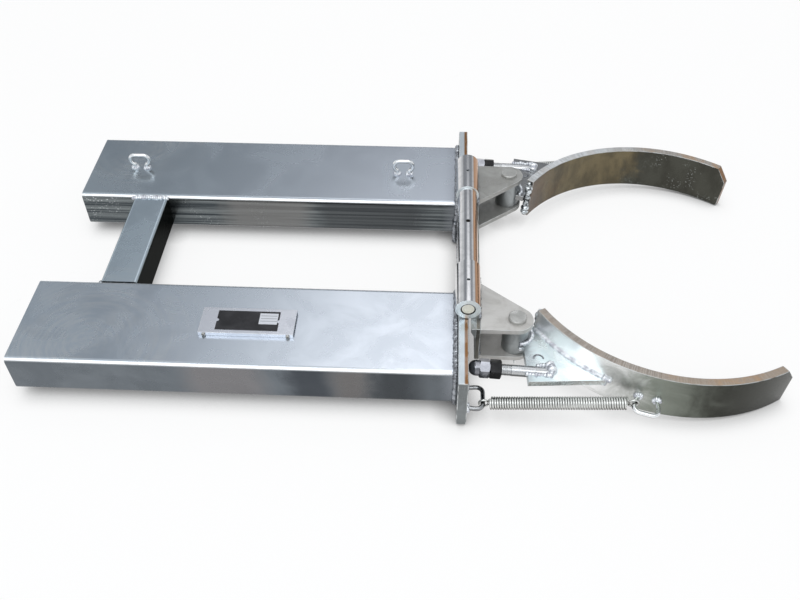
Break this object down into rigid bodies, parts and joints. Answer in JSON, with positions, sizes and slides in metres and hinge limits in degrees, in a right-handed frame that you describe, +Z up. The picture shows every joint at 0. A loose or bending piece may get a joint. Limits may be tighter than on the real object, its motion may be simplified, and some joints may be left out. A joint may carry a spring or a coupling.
{
  "type": "drum lifter",
  "caption": "Fork-truck drum lifter with fork pockets, a hinged front frame and curved sprung arms that close round a steel drum as it is raised.",
  "frame": {"origin": "midway between the two pocket mouths, level with the undersides of the fork pockets", "axes": "+X from the pocket mouths towards the drum arms, +Y to the side with the lashing loops, +Z up"},
  "size_m": [1.3619, 0.7286, 0.161],
  "materials": {
    "zinc_tube": "zinc-plated box section, satin with faint drawing lines",
    "zinc_plate": "zinc-plated plate with sawn edges",
    "zinc_band": "zinc-plated flat bar, mottled, dark",
    "bright_zinc": "bright zinc plating",
    "dull_zinc": "dull warm zinc plating",
    "spring_steel": "zinc-plated spring wire",
    "black_steel": "blackened steel",
    "black_label": "black anodised sheet with a bare field"
  },
  "bodies": {
    "chassis": {"near_fork_pocket": "zinc_tube", "far_fork_pocket": "zinc_tube", "rear_crossbar": "zinc_tube", "back_plate": "zinc_plate", "hinge_cradle": "zinc_plate", "hinge_centre_tube": "bright_zinc", "hinge_pin": "dull_zinc", "hinge_grub_screw": "dull_zinc", "lashing_loop_rear": "bright_zinc", "lashing_loop_front": "bright_zinc", "near_spring_anchor": "bright_zinc", "far_spring_anchor": "bright_zinc", "data_plate_holder": "bright_zinc", "data_plate": "black_label", "data_plate_screws": "dull_zinc"},
    "front_frame": {"front_plate": "zinc_plate", "near_knuckle": "bright_zinc", "far_knuckle": "bright_zinc", "near_knuckle_saddle": "dull_zinc", "far_knuckle_saddle": "dull_zinc", "near_upper_clevis": "dull_zinc", "far_upper_clevis": "dull_zinc", "near_lower_clevis": "dull_zinc", "far_lower_clevis": "dull_zinc", "near_pivot_pin": "dull_zinc", "far_pivot_pin": "dull_zinc", "pivot_washers": "zinc_plate", "split_pins": "bright_zinc"},
    "near_arm": {"near_arm_band": "zinc_band", "near_pivot_tube": "zinc_plate", "near_tail_plate": "zinc_band", "near_stop_stud": "bright_zinc", "near_lock_nut": "black_steel", "near_dome_nut": "bright_zinc", "near_arm_loop": "bright_zinc"},
    "near_spring": {"near_spring_rear_hook": "spring_steel", "near_spring_coil": "spring_steel"},
    "near_spring_end": {"near_spring_front_hook": "spring_steel"},
    "far_arm": {"far_arm_band": "zinc_band", "far_pivot_tube": "zinc_plate", "far_tail_plate": "zinc_band", "far_stop_stud": "bright_zinc", "far_lock_nut": "black_steel", "far_dome_nut": "bright_zinc", "far_arm_loop": "bright_zinc"},
    "far_spring": {"far_spring_rear_hook": "spring_steel", "far_spring_coil": "spring_steel"},
    "far_spring_end": {"far_spring_front_hook": "spring_steel"}
  },
  "joints": [
    {"name": "front_swing", "type": "hinge", "parent": "chassis", "child": "front_frame", "pos_m": [0.798, 0, 0.119], "axis": [0, 1, 0], "range_deg": [0, 6]},
    {"name": "near_arm_pivot", "type": "hinge", "parent": "front_frame", "child": "near_arm", "pos_m": [0.886, -0.206, 0.055], "axis": [0, 0, 1], "range_deg": [0, 5]},
    {"name": "far_arm_pivot", "type": "hinge", "parent": "front_frame", "child": "far_arm", "pos_m": [0.886, 0.206, 0.055], "axis": [0, 0, -1], "range_deg": [0, 5]},
    {"name": "near_spring_aim", "type": "hinge", "parent": "chassis", "child": "near_spring", "pos_m": [0.828, -0.3305, 0.012], "axis": [-0.0208, 0.8753, 0.4831], "range_deg": [0, 8]},
    {"name": "near_spring_length", "type": "slide", "parent": "near_spring", "child": "near_spring_end", "axis": [0.9967, -0.02, 0.0791], "range_m": [-0.002, 0.0005], "deforming": ["near_spring_coil"]},
    {"name": "far_spring_aim", "type": "hinge", "parent": "chassis", "child": "far_spring", "pos_m": [0.828, 0.3305, 0.012], "axis": [0.0208, 0.8753, -0.4831], "range_deg": [0, 8]},
    {"name": "far_spring_length", "type": "slide", "parent": "far_spring", "child": "far_spring_end", "axis": [0.9967, 0.02, 0.0791], "range_m": [-0.002, 0.0005], "deforming": ["far_spring_coil"]}
  ],
  "couplings": [
    {"joint": "near_arm_pivot", "follows": "front_swing", "ratio": 0.79},
    {"joint": "far_arm_pivot", "follows": "front_swing", "ratio": 0.79},
    {"joint": "near_spring_aim", "follows": "front_swing", "ratio": 1.291},
    {"joint": "near_spring_length", "follows": "front_swing", "m_per_rad": -0.0099897},
    {"joint": "far_spring_aim", "follows": "front_swing", "ratio": 1.291},
    {"joint": "far_spring_length", "follows": "front_swing", "m_per_rad": -0.0099897}
  ]
}
